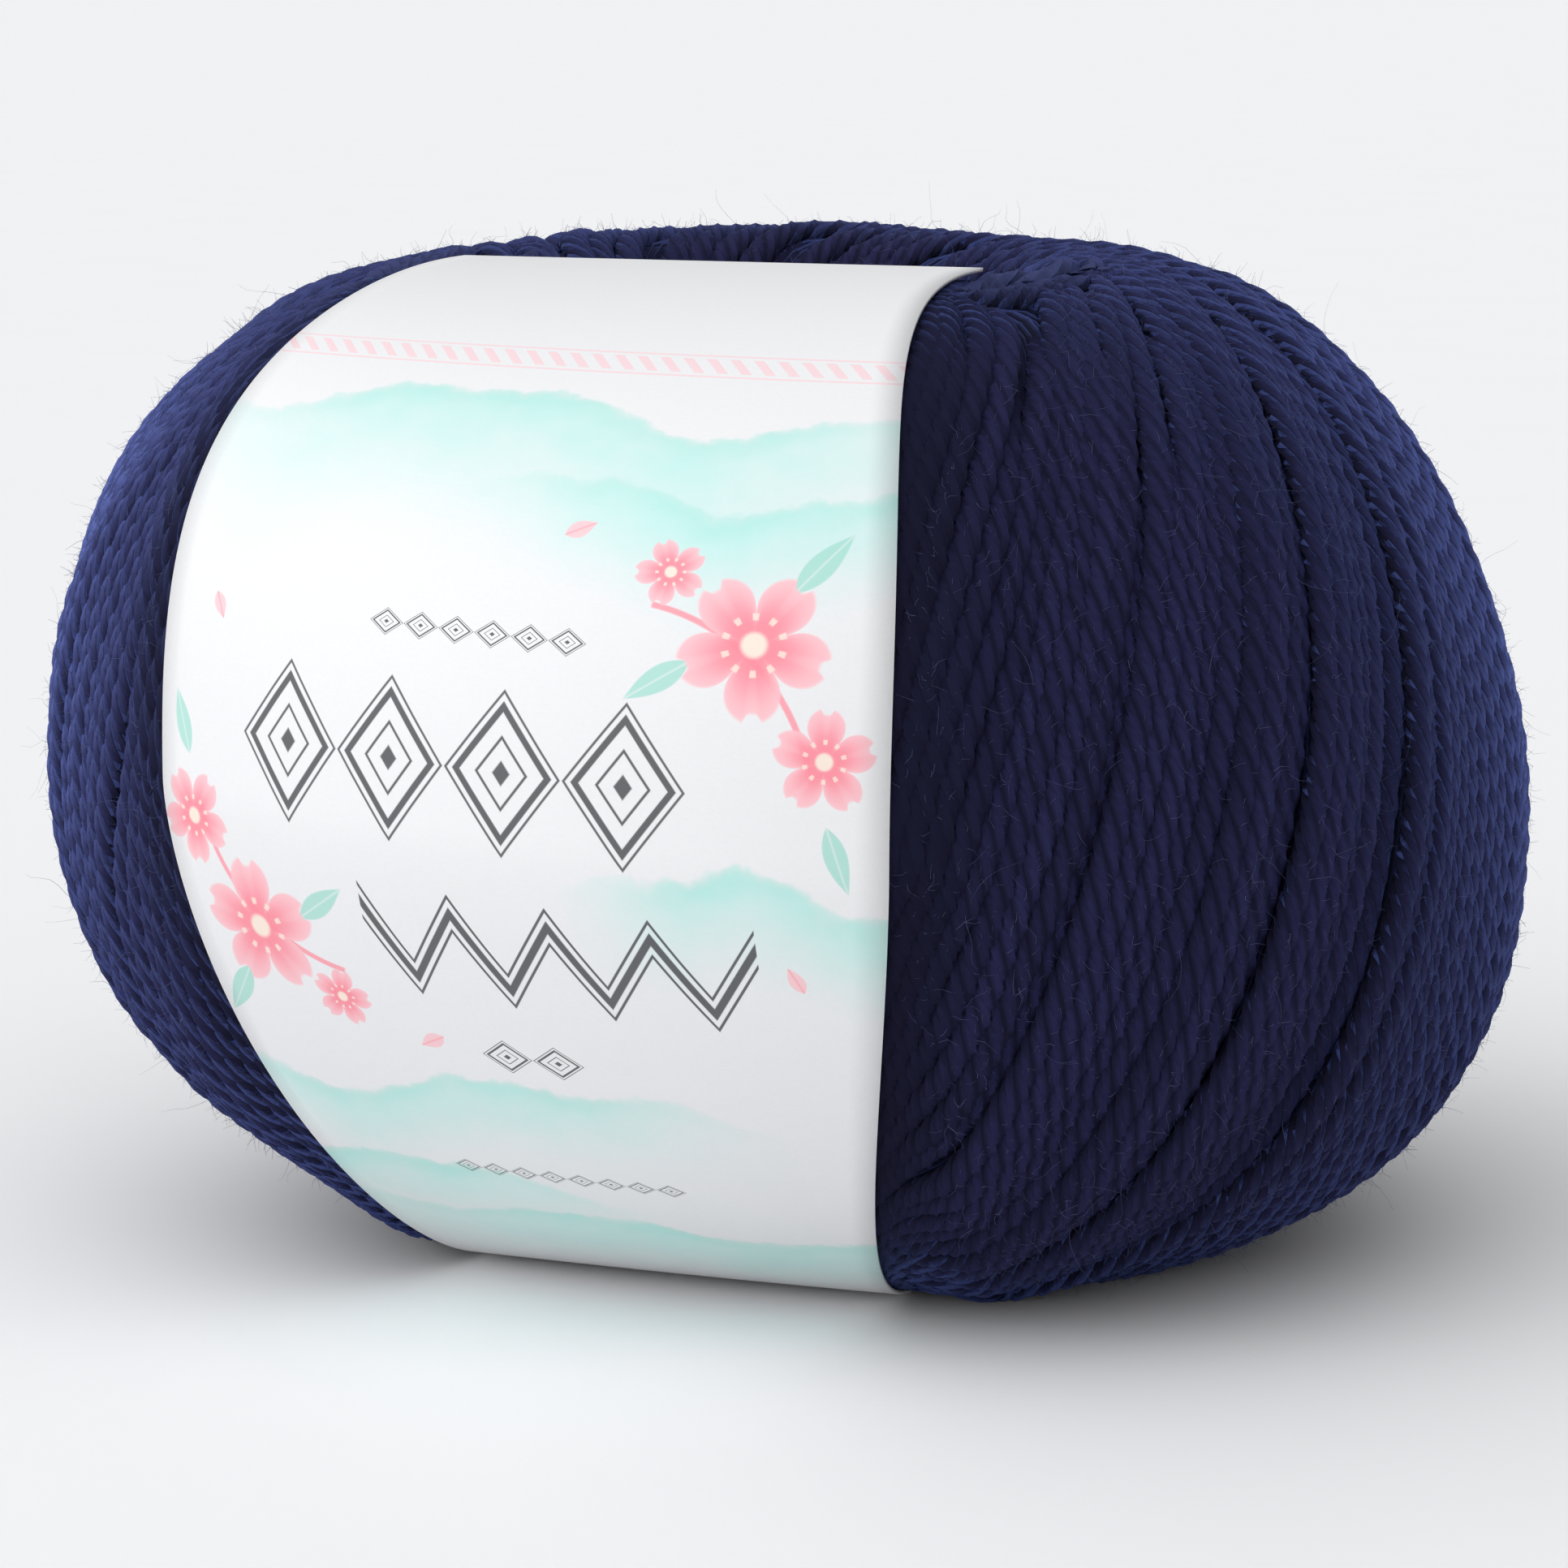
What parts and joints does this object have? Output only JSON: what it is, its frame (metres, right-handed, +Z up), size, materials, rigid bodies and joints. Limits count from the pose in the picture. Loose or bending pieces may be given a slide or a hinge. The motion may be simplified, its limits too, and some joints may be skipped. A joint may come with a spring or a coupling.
{
  "type": "ball of yarn",
  "caption": "Centre-pull ball of thick navy wool, machine wound round a hole, held by a printed paper band that wraps the front and runs through the hole.",
  "frame": {"origin": "on the surface that the ball rests on, below the middle of the ball, on the axis of its centre hole", "axes": "+Z up along the centre hole, -Y towards the middle of the paper band, +X to the right of the band seen from the front"},
  "size_m": [0.1002, 0.0998, 0.068],
  "materials": {
    "navy_wool": "plied wool strands with a soft halo of loose fibres, matte with a sheen at a glancing angle",
    "band_paper": null
  },
  "bodies": {
    "root": {"wool_ball": "navy_wool", "paper_band": "band_paper"}
  },
  "joints": []
}
